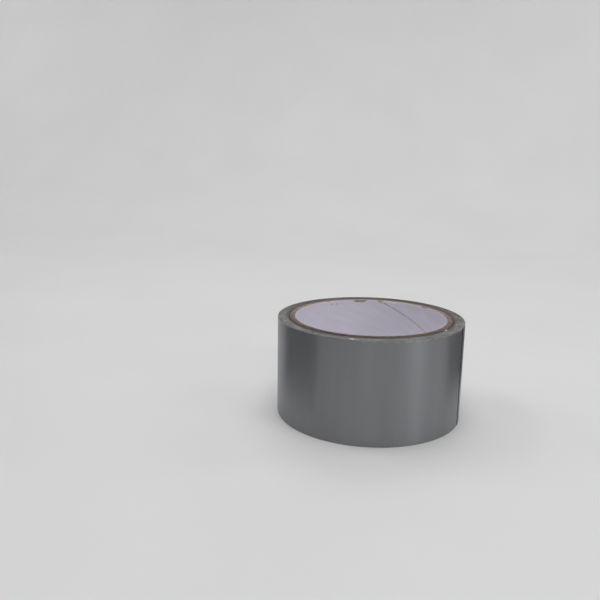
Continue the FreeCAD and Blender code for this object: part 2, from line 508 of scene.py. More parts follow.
@dataclass(frozen=True)
class LinerPaper(Finish):
    """Bleached wood-pulp paper, machine finished: a cool white with a soft fibre cloud, quite matt."""

    roughness: float = 0.72
    ior: float = 1.45
    white: str = "E2DEE9"
    cloud: str = "DAD6E1"
    cloud_mm: float = 6.0
    fibre_mm: float = 0.45
    fibre_squash: float = 0.3
    relief_mm: float = 0.02

    def dress(self, tree: bpy.types.NodeTree, shader: bpy.types.Node) -> None:
        """Sets the white, its clouding, and fibres that lie along the strip.

        Args:
            tree: The material's node tree.
            shader: Its Principled BSDF.
        """
        strip = add_node(tree, "ShaderNodeUVMap", {"uv_map": STRIP_UV}).outputs["UV"]
        clouds = add_node(
            tree, "ShaderNodeTexNoise", Vector=strip, Scale=per_metre(self.cloud_mm), Detail=5.0
        ).outputs["Fac"]
        stops = ((0.3, self.cloud), (0.7, self.white))
        squash = (self.fibre_squash, 1.0, 1.0)
        laid = add_node(tree, "ShaderNodeMapping", Vector=strip, Scale=squash).outputs["Vector"]
        fibres = add_node(
            tree, "ShaderNodeTexNoise", Vector=laid, Scale=per_metre(self.fibre_mm), Detail=5.0
        ).outputs["Fac"]
        self.show(tree, shader, clouds, stops, fibres, self.relief_mm, strength=0.5)


@dataclass(frozen=True)
class LinerCutEdge(MottledFinish):
    """The slit edge of the white liner, a little yellowed and furred, as rough as torn paper."""

    roughness: float = 0.85
    ior: float = 1.45
    dark: str = "9A8B7E"
    pale: str = "C2B9B2"
    patch_mm: float = 3.0
    detail: float = 5.0
    dark_until: float = 0.35
    pale_from: float = 0.6


@dataclass(frozen=True)
class KraftBoard(Finish):
    """Recycled kraft board, calendered and glued: a grey brown flecked with darker fibres, matt.

    Attributes:
        soil_slope: What the tone gains for each metre towards the back, so that the front is darker as
            painted shade.
    """

    roughness: float = 0.88
    ior: float = 1.45
    pale: str = "A3948A"
    brown: str = "7E7069"
    fleck: str = "473F3B"
    fleck_mm: float = 0.9
    fibre_mm: float = 0.3
    relief_mm: float = 0.05
    soil_slope: float = 4.5

    def dress(self, tree: bpy.types.NodeTree, shader: bpy.types.Node) -> None:
        """Sets the brown with its flecks, darker towards the front as painted shade, and the furred relief of
        a cut board.

        Args:
            tree: The material's node tree.
            shader: Its Principled BSDF.
        """
        space = add_node(tree, "ShaderNodeTexCoord").outputs["Object"]
        flecks = add_node(
            tree, "ShaderNodeTexNoise", Vector=space, Scale=per_metre(self.fleck_mm), Detail=8.0,
            Roughness=0.7,
        ).outputs["Fac"]
        # painted shade: the tone falls towards the front (-Y)
        back = add_node(tree, "ShaderNodeSeparateXYZ", Vector=space).outputs["Y"]
        front_shaded = add_node(
            tree, "ShaderNodeMath", {"operation": "MULTIPLY_ADD"}, Value=back, Value_001=self.soil_slope,
            Value_002=flecks,
        ).outputs["Value"]
        stops = ((0.3, self.fleck), (0.47, self.brown), (0.68, self.pale))
        fibres = add_node(
            tree, "ShaderNodeTexNoise", Vector=space, Scale=per_metre(self.fibre_mm), Detail=5.0
        ).outputs["Fac"]
        self.show(tree, shader, front_shaded, stops, fibres, self.relief_mm, strength=0.8)


@dataclass(frozen=True)
class AnimalGlue(MottledFinish):
    """Core-winding glue that was squeezed out and dried: amber with darker pools and a dull gloss."""

    roughness: float = 0.45
    dark: str = "5E432C"
    pale: str = "8C6A48"
    patch_mm: float = 1.2


@dataclass(frozen=True)
class PulledAdhesive(Finish):
    """A shred of clean adhesive that the slitting knife pulled out: milky white and shiny."""

    ior: float = 1.52
    milk: str = "E9E8E4"
    cloud_mm: float = 0.5
    glossiest: float = 0.15
    dullest: float = 0.4

    def dress(self, tree: bpy.types.NodeTree, shader: bpy.types.Node) -> None:
        """Sets a milky white with cloudy gloss.

        Args:
            tree: The material's node tree.
            shader: Its Principled BSDF.
        """
        shader.inputs["Base Color"].default_value = linear(self.milk)
        space = add_node(tree, "ShaderNodeTexCoord").outputs["Object"]
        cloud = add_node(
            tree, "ShaderNodeTexNoise", Vector=space, Scale=per_metre(self.cloud_mm), Detail=2.0
        ).outputs["Fac"]
        add_node(
            tree, "ShaderNodeMapRange", feeds=("Result", shader.inputs["Roughness"]), Value=cloud,
            To_Min=self.glossiest, To_Max=self.dullest,
        )


@dataclass(frozen=True)
class CutEndShadeAdhesive(MottledFinish):
    """Adhesive that crept out at the tape's end, made near black as painted shade for the shadow line at the
    cut: a dark thread with a dull shine.
    """

    roughness: float = 0.55
    dark: str = "1E1E20"
    pale: str = "2C2C2F"
    patch_mm: float = 0.7


@dataclass(frozen=True)
class BackdropPaper(MottledFinish):
    """Seamless backdrop paper: a plain pale grey with an almost unseen cloud, matt."""

    roughness: float = 0.55
    ior: float = 1.45
    dark: str = "D5D5D5"
    pale: str = "D8D8D8"
    patch_mm: float = 120.0
    detail: float = 2.0


@dataclass(frozen=True)
class FlagCloth(MottledFinish):
    """Black duvetyn cloth of a studio flag, which keeps bright reflections off one side: dull, napped."""

    roughness: float = 0.9
    dark: str = "26262A"
    pale: str = "303036"
    patch_mm: float = 2.0
    detail: float = 2.0
    dark_until: float = 0.0
    pale_from: float = 1.0


# ---------------------------------------------------------------------------------------------------
# Mesh helpers
# ---------------------------------------------------------------------------------------------------


@dataclass(frozen=True)
class Ripple:
    """A smooth field that never repeats, the sum of a few sines with seeded lengths and phases.

    Attributes:
        seed: Picks the field.
        shortest: The shortest wave along the first coordinate.
        longest: The longest wave along it.
        skew: How many waves of the second coordinate go with one of the first, at most.
        waves: How many sines are added.
    """

    seed: int
    shortest: float
    longest: float
    skew: float = 0.0
    waves: int = 9

    def __call__(self, along: np.ndarray, across: np.ndarray | float = 0.0) -> np.ndarray:
        """The field's height at each point.

        Args:
            along: The first coordinate of each point.
            across: The second coordinate of each point.

        Returns:
            Heights from -1 to 1.
        """
        rng = np.random.default_rng(self.seed)
        lengths = np.geomspace(self.shortest, self.longest, self.waves) * rng.uniform(0.85, 1.15, self.waves)
        phases = rng.uniform(0, 2 * math.pi, self.waves)
        slopes = rng.uniform(-self.skew, self.skew, self.waves)
        total = np.zeros(np.broadcast(along, across).shape)
        for length, phase, slope in zip(lengths, phases, slopes):
            total = total + np.sin(2 * math.pi * (along + slope * across) / length + phase)
        return total / self.waves


class Face(Enum):
    """The four kinds of face that a shell has, each with its material index."""

    OUTSIDE = 0
    INSIDE = 1
    LIP = 2
    END = 3


@dataclass(frozen=True)
class Dressing:
    """The finish of each kind of face of a shell."""

    outside: Finish
    inside: Finish
    lip: Finish
    end: Finish

    def materials(self) -> list[bpy.types.Material]:
        """The materials in the order of Face."""
        return [finish.material() for finish in (self.outside, self.inside, self.lip, self.end)]


def polar(angle_deg: np.ndarray, radius: np.ndarray, z: np.ndarray) -> np.ndarray:
    """Points about the roll's axis.

    Args:
        angle_deg: Angles in degrees, anticlockwise from +X.
        radius: Distances from the axis.
        z: Heights.

    Returns:
        An array of points, one axis longer than the arguments.
    """
    angle = np.radians(angle_deg)
    angle, radius, z = np.broadcast_arrays(angle, radius, z)
    return np.stack([radius * np.cos(angle), radius * np.sin(angle), z], axis=-1)


def make_mesh(
    name: str, points: np.ndarray, faces: list[list[int]], kinds: list[int], sharp_deg: float = 32.0
) -> bpy.types.Object:
    """Makes an object from points and faces, shaded smooth but for its sharp edges.

    Args:
        name: The piece's name.
        points: One row for each vertex.
        faces: Vertex indices of each face.
        kinds: Material index of each face.
        sharp_deg: Edges that turn more than this stay sharp.

    Returns:
        The new object, linked to the scene.
    """
    mesh = bpy.data.meshes.new(name)
    mesh.from_pydata(points.reshape(-1, 3).tolist(), [], faces)
    mesh.polygons.foreach_set("material_index", kinds)
    mesh.shade_smooth()
    mesh.set_sharp_from_angle(angle=math.radians(sharp_deg))
    piece = bpy.data.objects.new(name, mesh)
    bpy.context.scene.collection.objects.link(piece)
    return piece


def make_shell(
    name: str, inside: np.ndarray, outside: np.ndarray, strip: np.ndarray, dressing: Dressing
) -> bpy.types.Object:
    """Makes a closed sheet from the two grids of points on its faces.

    Args:
        name: The piece's name.
        inside: Points of the face towards the axis, (along, across, 3), running anticlockwise and upwards.
        outside: Points of the other face, in the same order.
        strip: Where each point lies along and across the flat strip, (along, across, 2).
        dressing: The finish of each kind of face.

    Returns:
        The new object.
    """
    rows, columns = inside.shape[:2]
    outer = np.arange(rows * columns).reshape(rows, columns)
    inner = outer + rows * columns

    def quads(a: np.ndarray, b: np.ndarray, c: np.ndarray, d: np.ndarray) -> np.ndarray:
        """Four matching arrays of corners as one array of faces."""
        return np.stack([a, b, c, d], axis=-1).reshape(-1, 4)

    parts = {
        Face.OUTSIDE: [quads(outer[:-1, :-1], outer[1:, :-1], outer[1:, 1:], outer[:-1, 1:])],
        Face.INSIDE: [quads(inner[:-1, :-1], inner[:-1, 1:], inner[1:, 1:], inner[1:, :-1])],
        Face.LIP: [
            quads(outer[:-1, -1], outer[1:, -1], inner[1:, -1], inner[:-1, -1]),
            quads(outer[:-1, 0], inner[:-1, 0], inner[1:, 0], outer[1:, 0]),
        ],
        Face.END: [
            quads(outer[0, :-1], outer[0, 1:], inner[0, 1:], inner[0, :-1]),
            quads(outer[-1, :-1], inner[-1, :-1], inner[-1, 1:], outer[-1, 1:]),
        ],
    }
    faces = np.concatenate([block for blocks in parts.values() for block in blocks])
    kinds = np.concatenate([np.full(len(b), kind.value) for kind, blocks in parts.items() for b in blocks])
    points = np.concatenate([outside.reshape(-1, 3), inside.reshape(-1, 3)])
    piece = make_mesh(name, points, faces.tolist(), kinds.tolist())
    for material in dressing.materials():
        piece.data.materials.append(material)
    write_strip_uv(piece, np.concatenate([strip.reshape(-1, 2)] * 2))
    return piece


def write_strip_uv(piece: bpy.types.Object, strip: np.ndarray) -> None:
    """Stores where each vertex lies on the flat strip, in metres, as the mesh's UV map.

    Args:
        piece: The object.
        strip: One row for each vertex.
    """
    layer = piece.data.uv_layers.new(name=STRIP_UV)
    corners = np.empty(len(piece.data.loops), dtype=np.int32)
    piece.data.loops.foreach_get("vertex_index", corners)
    layer.data.foreach_set("uv", strip[corners].astype(np.float32).ravel())


def across_width(width: float, step: float, lip: float) -> np.ndarray:
    """Heights from the lower edge to the upper, closer together near both edges.

    Args:
        width: The strip's width.
        step: The spacing in the middle.
        lip: How far from an edge the points come closer.

    Returns:
        The heights, from 0 to width.
    """
    near = lip * np.array(LIP_STEPS)
    middle = np.linspace(lip, width - lip, max(int((width - 2 * lip) / step), 1) + 1)[1:-1]
    return np.concatenate([near, middle, width - near[::-1]])


# ---------------------------------------------------------------------------------------------------
# The roll's measures
# ---------------------------------------------------------------------------------------------------


@dataclass(frozen=True)
class RollMeasures:
    """The sizes that the pieces take from the CAD frame.

    Attributes:
        width: The tape's and the core's width, along +Z.
        bore_radius: The core's bore.
        core_radius: The core's outside, which the first turn lies on.
        outer_radius: The outside of the tail.
        hinges_deg: The angle of each fold line of the tail, from the roll to the free end.
        tape_end_deg: The angle of the tape's free end.
    """

    width: float
    bore_radius: float
    core_radius: float
    outer_radius: float
    hinges_deg: tuple[float, ...]
    tape_end_deg: float

    @classmethod
    def from_frame(cls, frame: dict[str, Any]) -> RollMeasures:
        """Reads the sizes from the loaded frame.


        Returns:
            The measures.
        """
        bore = next(m for m in frame["record"]["mounts"] if m["name"] == "core_bore")
        places = [joint["pos_m"] for joint in frame["joints"]]
        hinges = [math.degrees(math.atan2(y, x)) for x, y, _ in places]
        return cls(
            width=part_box("core_liner")[1].z,
            bore_radius=bore["dims"]["r_mm"] * MM,
            core_radius=cls.reach(frame, "core_ply_4"),
            outer_radius=math.hypot(*places[0][:2]),
            hinges_deg=tuple(hinges),
            tape_end_deg=hinges[-1] + (hinges[-1] - hinges[0]) / (len(hinges) - 1),
        )

    @staticmethod
    def reach(frame: dict[str, Any], node: str) -> float:
        """The largest distance of a node's points from the roll's axis."""
        return max(math.hypot(v.co.x, v.co.y) for v in frame["nodes"][node].data.vertices)

    @property
    def fold_step_deg(self) -> float:
        """The angle from one fold line to the next."""
        return self.hinges_deg[1] - self.hinges_deg[0]


# ---------------------------------------------------------------------------------------------------
# The paper core
# ---------------------------------------------------------------------------------------------------


@dataclass(frozen=True)
class TornPatch:
    """A place on the core's upper lip where the liner is torn away.

    Attributes:
        from_deg: Where it starts.
        to_deg: Where it ends.
        depth: How far down it reaches.
        steepness: How much of its width each side takes, as one part in so many.
        raggedness: How uneven its floor is, as a share of the depth.
    """

    from_deg: float
    to_deg: float
    depth: float
    steepness: float = 6.0
    raggedness: float = 0.2

    def bite(self, angle_deg: np.ndarray) -> np.ndarray:
        """How deep the tear is at each angle, with a ragged floor and steep sides.

        Args:
            angle_deg: The angles.

        Returns:
            Depths, nothing outside the patch.
        """
        turned = np.mod(angle_deg - self.from_deg, 360)
        share = turned / (self.to_deg - self.from_deg)
        inside = np.clip(np.minimum(share, 1 - share) * self.steepness, 0, 1)
        ragged = self.raggedness * Ripple(int(self.from_deg), 0.9, 7.0)(angle_deg)
        return self.depth * inside * (1 - self.raggedness + ragged)


@dataclass(frozen=True)
class Speck:
    """A small bead that lies on the roll.

    Attributes:
        angle_deg: Where it lies about the axis.
        place_mm: Its height on the liner, or its radius on the side face.
        size_mm: Its half length, half width and height.
    """

    angle_deg: float
    place_mm: float
    size_mm: tuple[float, float, float]


@dataclass
class PaperCore:
    """The spiral-wound core: a white liner and four kraft plies, each a strip with a rising butt seam."""

    measures: RollMeasures
    liner_thickness: float = 0.3 * MM
    ply_thickness: float = 0.6 * MM
    glue_line: float = 0.02 * MM
    ply_count: int = 4
    strip_lead: float = 108.7 * MM
    seam_gap: float = 0.34 * MM
    liner_seam_deg: float = -82.6
    seam_stagger_deg: float = 72.0
    angle_step_deg: float = 1.5
    liner_step: float = 1.0 * MM
    ply_step: float = 2.0 * MM
    lip: float = 1.2 * MM
    worn_reach: float = 4.0 * MM
    fine_fur: float = 0.04 * MM
    slow_fur: float = 0.03 * MM
    lower_fur_share: float = 0.5
    lip_softness: float = 0.22
    lip_roundness: float = 0.25
    torn_patches: tuple[TornPatch, ...] = (
        TornPatch(93.3, 105.2, 1.5 * MM),
        TornPatch(79.5, 84.5, 0.8 * MM),
        TornPatch(37.4, 44.4, 0.6 * MM),
        TornPatch(126.5, 129.0, 0.4 * MM),
        TornPatch(214.0, 219.0, 0.5 * MM),
    )
    glue_specks: tuple[Speck, ...] = (
        Speck(124.9, 48.3, (0.42, 0.25, 0.12)),
        Speck(120.2, 48.2, (0.36, 0.22, 0.12)),
        Speck(77.4, 48.7, (0.3, 0.18, 0.12)),
        Speck(301.0, 47.6, (0.4, 0.24, 0.12)),
    )
    pieces: list[bpy.types.Object] = field(default_factory=list)

    def build(self) -> None:
        """Makes the liner, the plies and the dried glue."""
        bore = self.measures.bore_radius
        liner_outside = bore + self.liner_thickness
        paper = Dressing(LinerPaper(), LinerPaper(), LinerCutEdge(), LinerCutEdge())
        self.add_strip("core_liner_paper", "core_liner", bore, liner_outside, self.liner_seam_deg, paper)
        board = Dressing(KraftBoard(), KraftBoard(), KraftBoard(), KraftBoard())
        for ply in range(1, self.ply_count + 1):
            outside = liner_outside + ply * (self.ply_thickness + self.glue_line)
            inside = outside - self.ply_thickness
            seam = self.liner_seam_deg + ply * self.seam_stagger_deg
            self.add_strip(f"kraft_ply_{ply}", f"core_ply_{ply}", inside, outside, seam, board)
        self.add_glue()

    def add_strip(
        self, name: str, node: str, inside: float, outside: float, seam_deg: float, dressing: Dressing
    ) -> None:
        """Makes one paper strip, wound round once, with its two edges butted along the seam.

        Args:
            name: The piece's name.
            node: The CAD node that it stands for.
            inside: The strip's inner radius.
            outside: Its outer radius.
            seam_deg: Where its seam meets the lower side face.
            dressing: Its finishes.
        """
        width = self.measures.width
        is_liner = node == "core_liner"
        z = across_width(width, self.liner_step if is_liner else self.ply_step, self.lip)
        gap_deg = self.seam_gap / self.strip_lead * 360
        steps = int(360 / self.angle_step_deg)
        turn = np.linspace(gap_deg / 2, 360 - gap_deg / 2, steps + 1)[:, None]
        angle = seam_deg + turn + z / self.strip_lead * 360
        height = self.worn_height(angle, z, inside, is_liner)
        wall_in, wall_out = self.lip_radii(z, inside, outside)
        strip = np.stack(np.broadcast_arrays(np.radians(turn) * inside, height), axis=-1)
        faces = [polar(angle, radii, height) for radii in (wall_in, wall_out)]
        piece = make_shell(name, *faces, strip, dressing)
        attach(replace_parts(piece, node), "roll")
        self.pieces.append(piece)
        LOG.info("%s: radius %.2f to %.2f mm", name, inside / MM, outside / MM)

    def worn_height(self, angle: np.ndarray, z: np.ndarray, radius: float, is_liner: bool) -> np.ndarray:
        """Heights of a strip's points once its lips are furred by slitting, and the liner's is torn.

        Args:
            angle: Each point's angle in degrees.
            z: Each column's height on a clean strip.
            radius: The strip's radius, which picks its own wear.
            is_liner: Whether the torn patches are in this strip.

        Returns:
            The worn heights.
        """
        seed = int(radius / MM * 10)
        upper = np.clip((z - (self.measures.width - self.worn_reach)) / self.worn_reach, 0, 1)
        lower = np.clip((self.worn_reach - z) / self.worn_reach, 0, 1)
        fine = self.fine_fur * (1 + Ripple(seed, 0.8, 24.0)(angle))
        fur = fine + self.slow_fur * (1 + Ripple(seed + 1, 20.0, 170.0)(angle))
        drop = fur
        if is_liner:
            drop = fur + sum(patch.bite(angle) for patch in self.torn_patches)
        return z - upper * drop + lower * self.lower_fur_share * fur

    def lip_radii(self, z: np.ndarray, inside: float, outside: float) -> tuple[np.ndarray, np.ndarray]:
        """Radii of a strip's two faces, rounded off at both lips as cut board is.

        Args:
            z: Each column's height.
            inside: The strip's inner radius.
            outside: Its outer radius.

        Returns:
            The inner and outer radius of each column.
        """
        wall = outside - inside
        to_lip = np.minimum(z, z[-1] - z)
        soft = self.lip_softness * wall * np.exp(-to_lip / (self.lip_roundness * wall))
        return inside + soft, outside - soft

    def add_glue(self) -> None:
        """Makes the specks of core glue that dried on the liner near its upper lip."""
        for number, speck in enumerate(self.glue_specks, start=1):
            centre = Vector(polar(speck.angle_deg, self.measures.bore_radius, speck.place_mm * MM).tolist())
            inward = Vector((-centre.x, -centre.y, 0)).normalized()
            piece = make_blob(f"dried_glue_{number}", centre, inward, speck.size_mm, number)
            piece.data.materials.append(AnimalGlue().material())
            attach(piece, "roll")
            self.pieces.append(piece)


def make_blob(
    name: str, centre: Vector, normal: Vector, size_mm: tuple[float, float, float], seed: int
) -> bpy.types.Object:
    """Makes a small uneven bead that lies on a surface.

    Args:
        name: The piece's name.
        centre: Where it sits.
        normal: The surface's outward direction there.
        size_mm: Its half length, half width and height.
        seed: Picks its shape.

    Returns:
        The new object.
    """
    rings, spokes = 7, 18
    sunk, lumpiness = 0.35, 0.28
    rise = np.linspace(-sunk, 1, rings) * math.pi / 2
    turn = np.linspace(0, 2 * math.pi, spokes, endpoint=False)
    rise, turn = np.meshgrid(rise, turn, indexing="ij")
    uneven = Ripple(seed, 1.1, 4.2, skew=1.5)(np.cos(turn) * 2, np.sin(turn) * 2 + rise)
    lumps = 1 + lumpiness * uneven
    half_length, half_width, height = (size * MM for size in size_mm)
    local = np.stack(
        [
            np.cos(rise) * np.cos(turn) * half_length * lumps,
            np.cos(rise) * np.sin(turn) * half_width * lumps,
            np.sin(rise) * height,
        ],
        axis=-1,
    )
    side = normal.cross(Vector((0, 0, 1)))
    side = side.normalized() if side.length > 0.1 else Vector((centre.y, -centre.x, 0)).normalized()
    frame = np.array(Matrix((side, normal.cross(side), normal)))
    points = local.reshape(-1, 3) @ frame + np.array(centre)
    index = np.arange(rings * spokes).reshape(rings, spokes)
    around = np.roll(index, -1, axis=1)
    faces = [[a, b, c, d] for a, b, c, d in zip(
        index[:-1].ravel().tolist(), around[:-1].ravel().tolist(), around[1:].ravel().tolist(),
        index[1:].ravel().tolist(),
    )]
    faces += [index[0, ::-1].tolist(), index[-1].tolist()]
    return make_mesh(name, points, faces, [0] * len(faces), sharp_deg=80.0)


# ---------------------------------------------------------------------------------------------------
# The tape
# ---------------------------------------------------------------------------------------------------


class Layer(Enum):
    """The tape's layers, from the core outwards: the bottom and top of each as a share of the web.

    The web of 0.17 mm is 0.06 mm of adhesive, 0.05 mm of scrim and 0.06 mm of film.
    """

    ADHESIVE = (0.0, 6 / 17)
    SCRIM = (6 / 17, 11 / 17)
    FILM = (11 / 17, 1.0)

    @property
    def slot(self) -> str:
        """The record's material slot for the layer."""
        return f"tape_{self.name.lower()}"

    @property
    def recess(self) -> float:
        """How far the layer's slit edge lies behind the film's."""
        return {Layer.ADHESIVE: 0.035, Layer.SCRIM: 0.02, Layer.FILM: 0.0}[self] * MM


@dataclass(frozen=True)
class TapePath:
    """The tape as one strip: where a point of the flat strip lies once it is wound.

    The strip is followed by its angle, which runs on from turn to turn and ends at the free end.
    """

    measures: RollMeasures
    turns: float = 36.1
    web: float = 0.17 * MM
    tail_lift: float = 0.03 * MM
    slit_drop: float = 0.02 * MM
    slow_wander: float = 0.045 * MM
    fine_wander: float = 0.018 * MM
    lower_share: float = 0.4
    lower_corner_share: float = 0.5
    corner_wear: float = 0.16 * MM
    corner_depth: float = 0.28 * MM
    groove_depth: float = 0.9 * MM
    groove_reach: float = 0.42 * MM

    @property
    def last_radius(self) -> float:
        """Inner face of the web where the tape ends, before the tail's own lift."""
        return self.measures.outer_radius - self.tail_lift - self.web

    @property
    def pitch(self) -> float:
        """What the radius gains in one turn."""
        return (self.last_radius - self.measures.core_radius) / self.turns

    @property
    def start_deg(self) -> float:
        """The angle of the strip's end on the core."""
        return self.measures.tape_end_deg - 360 * self.turns

    def radius(self, angle_deg: np.ndarray, share: np.ndarray | float) -> np.ndarray:
        """The radius of a point of the strip.

        Args:
            angle_deg: Angles of the strip.
            share: Shares of the web's thickness, from its inner face to its outer.

        Returns:
            The radii.
        """
        before_end = (self.measures.tape_end_deg - angle_deg) / 360
        into_tail = np.clip((angle_deg - self.measures.hinges_deg[0]) / self.measures.fold_step_deg, 0, 1)
        lift = self.tail_lift * into_tail * into_tail * (3 - 2 * into_tail)
        return self.last_radius - self.pitch * before_end + lift + self.pitch * share

    def length(self, angle_deg: np.ndarray) -> np.ndarray:
        """The distance along the strip, counted back from the free end."""
        return np.radians(angle_deg - self.measures.tape_end_deg) * self.last_radius

    def edges(self, angle_deg: np.ndarray, layer: Layer) -> tuple[np.ndarray, np.ndarray]:
        """Heights of the slit edges, which wander a little from turn to turn.

        Args:
            angle_deg: Angles of the strip.
            layer: The layer, because adhesive and cloth lie behind the film's edge.

        Returns:
            The lower and upper edge's heights.
        """
        s = self.length(angle_deg)
        from_outside = self.measures.outer_radius - self.radius(angle_deg, 1.0)
        from_core = self.radius(angle_deg, 0.0) - self.measures.core_radius
        worn = self.corner_wear * np.exp(-from_outside / self.corner_depth)
        slow = self.slow_wander * (1 + Ripple(11, 0.05, 2.9, waves=13)(s))
        wander = slow + self.fine_wander * (1 + Ripple(12, 0.004, 0.04)(s))
        groove = self.groove_depth * np.exp(-((from_core / self.groove_reach) ** 2))
        lower_wander = self.lower_share * (self.slit_drop + wander)
        low = lower_wander + self.lower_corner_share * worn + groove + layer.recess
        high = self.measures.width - self.slit_drop - wander - worn - groove - layer.recess
        return low, high


@dataclass
class Tape:
    """The wound tape and its loose tail, each layer a closed sheet."""

    measures: RollMeasures
    path: TapePath
    inner_step_deg: float = 2.5
    outer_step_deg: float = 1.0
    tail_step_deg: float = 0.6
    hair_step_deg: float = 0.02
    across_step: float = 1.25 * MM
    edge_lip: float = 0.8 * MM
    sharp_roll: tuple[float, float] = (0.05 * MM, 0.22 * MM)
    broad_roll: tuple[float, float] = (0.09 * MM, 1.6 * MM)
    roll_depth: float = 0.5 * MM
    adhesive_step_along: float = 0.36 * MM
    adhesive_step_across: float = 0.325 * MM
    overlap_before_fold: float = 2.4 * MM
    bend_length: float = 7.4 * MM
    film_ripple: float = 0.004 * MM
    film_slack: float = 0.012 * MM
    end_slant_deg: float = 2.2
    end_jag_deg: float = 0.05
    end_trim_deg: float = 0.25
    warp_half_wide: float = 0.17 * MM
    weft_half_wide: float = 0.22 * MM
    yarn_half_thick: float = 0.024 * MM
    fray_deg: tuple[float, float] = (-0.06, 0.21)
    warp_step_deg: float = 1.2
    weft_margin_deg: float = 0.4
    weft_points: int = 40
    yarn_inset: float = 0.3 * MM
    crimp: float = 0.006 * MM
    weft_drop: float = 0.004 * MM
    sink: float = 0.036 * MM
    pressed_sink: float = 0.054 * MM
    bead_half_deg: float = 0.21
    bead_half_high: float = 0.24 * MM
    bead_uneven_deg: float = 0.03
    bead_uneven_high: float = 0.02 * MM
    warp_spacing: float = WARP_SPACING_MM * MM
    weft_spacing: float = WEFT_SPACING_MM * MM
    shreds: tuple[Speck, ...] = (
        Speck(-99.5, 45.5, (1.5, 0.55, 0.16)),
        Speck(-96.4, 45.9, (0.6, 0.3, 0.14)),
        Speck(-32.1, 41.9, (0.9, 0.55, 0.14)),
        Speck(-13.7, 43.2, (0.5, 0.25, 0.12)),
    )
    pieces: list[bpy.types.Object] = field(default_factory=list)

    DRESSINGS: ClassVar[dict[Layer, Dressing]] = {
        Layer.FILM: Dressing(SilverPolyethylene(), SilverPolyethylene(), SlitFilmEdge(), SlitFilmEdge()),
        Layer.SCRIM: Dressing(CottonYarn(), CottonYarn(), DustyAdhesiveEdge(), CottonYarn()),
        Layer.ADHESIVE: Dressing(
            RubberAdhesive(), RubberAdhesive(), DustyAdhesiveEdge(), DustyAdhesiveEdge()
        ),
    }

    def build(self) -> None:
        """Makes the inner turns, the outer turn, the tail and the marks on them."""
        lead_in = math.degrees(self.overlap_before_fold / self.measures.outer_radius)
        tail_start = self.measures.hinges_deg[0] - lead_in
        for layer in Layer:
            self.add_wound(layer, "inner_turns", self.path.start_deg, tail_start - 360, self.inner_step_deg)
            self.add_wound(layer, "outer_turn", tail_start - 360, tail_start, self.outer_step_deg)
        bounds = [hinge - lead_in for hinge in self.measures.hinges_deg] + [self.measures.tape_end_deg]
        for number, (start, end) in enumerate(zip(bounds, bounds[1:]), start=1):
            self.add_length(number, start, end)
        self.add_end_bead()
        self.add_shreds()

    def add_wound(self, layer: Layer, turns: str, start: float, end: float, step: float) -> None:
        """Makes one layer of a stretch of the wound tape.

        Args:
            layer: The layer.
            turns: What the stretch is called, as in the CAD nodes.
            start: The angle where it starts.
            end: The angle where it ends.
            step: The angle from row to row.
        """
        is_outer = turns == "outer_turn"
        angle = self.rows(start, end, step)
        share = self.columns(fine=is_outer and layer is Layer.FILM)
        inside, outside, strip = self.sheet(layer, angle, share)
        name = f"{turns}_{layer.name.lower()}"
        piece = make_shell(f"wound_{name}", inside, outside, strip, self.DRESSINGS[layer])
        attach(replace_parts(piece, name), "roll")
        self.pieces.append(piece)
        LOG.info("wound_%s: %.1f turns, %d faces", name, (end - start) / 360, len(piece.data.polygons))

    def rows(self, start: float, end: float, step: float) -> np.ndarray:
        """Angles of a sheet's rows, with a hair's step at both ends so that its shading stays round there.

        Args:
            start: The first angle.
            end: The last angle.
            step: The spacing between them.

        Returns:
            The angles.
        """
        hair = self.hair_step_deg
        count = max(int((end - start - 2 * hair) / step), 2)
        return np.concatenate([[start], np.linspace(start + hair, end - hair, count + 1), [end]])

    def columns(self, fine: bool) -> np.ndarray:
        """Shares of the width where a sheet has points.

        Args:
            fine: Whether the sheet's face is seen, and not just its slit edges.

        Returns:
            The shares, from 0 to 1.
        """
        if not fine:
            return np.array([0.0, 1.0])
        return across_width(self.measures.width, self.across_step, self.edge_lip) / self.measures.width

    def sheet(
        self, layer: Layer, angle: np.ndarray, share: np.ndarray
    ) -> tuple[np.ndarray, np.ndarray, np.ndarray]:
        """The two faces of a layer and where their points lie on the flat strip.

        Args:
            layer: The layer.
            angle: The angle of each row.
            share: The share of the width of each column.

        Returns:
            The inside, the outside and the strip coordinates, as make_shell takes them.
        """
        rows = angle[:, None]
        low, high = self.path.edges(rows, layer)
        z = low + (high - low) * share
        wear = self.edge_roll(rows, z)
        bottom, top = layer.value
        inner = self.path.radius(rows, bottom) - wear
        outer = self.path.radius(rows, top) - wear
        s = np.broadcast_to(self.path.length(rows), z.shape)
        if layer is Layer.FILM:
            outer = outer - self.film_slack - self.film_ripple * Ripple(21, 0.006, 0.06, skew=0.35)(s, z)
        return polar(rows, inner, z), polar(rows, outer, z), np.stack([s, z], axis=-1)

    def edge_roll(self, angle: np.ndarray, z: np.ndarray) -> np.ndarray:
        """How far handling has pressed the web in at the roll's two corners.

        Args:
            angle: Angles of the strip.
            z: Heights.

        Returns:
            Distances towards the axis.
        """
        to_edge = np.minimum(z, self.measures.width - z)
        from_outside = self.measures.outer_radius - self.path.radius(angle, 0.5)
        pressed = sum(depth * np.exp(-to_edge / reach) for depth, reach in (self.sharp_roll, self.broad_roll))
        return pressed * np.exp(-from_outside / self.roll_depth)

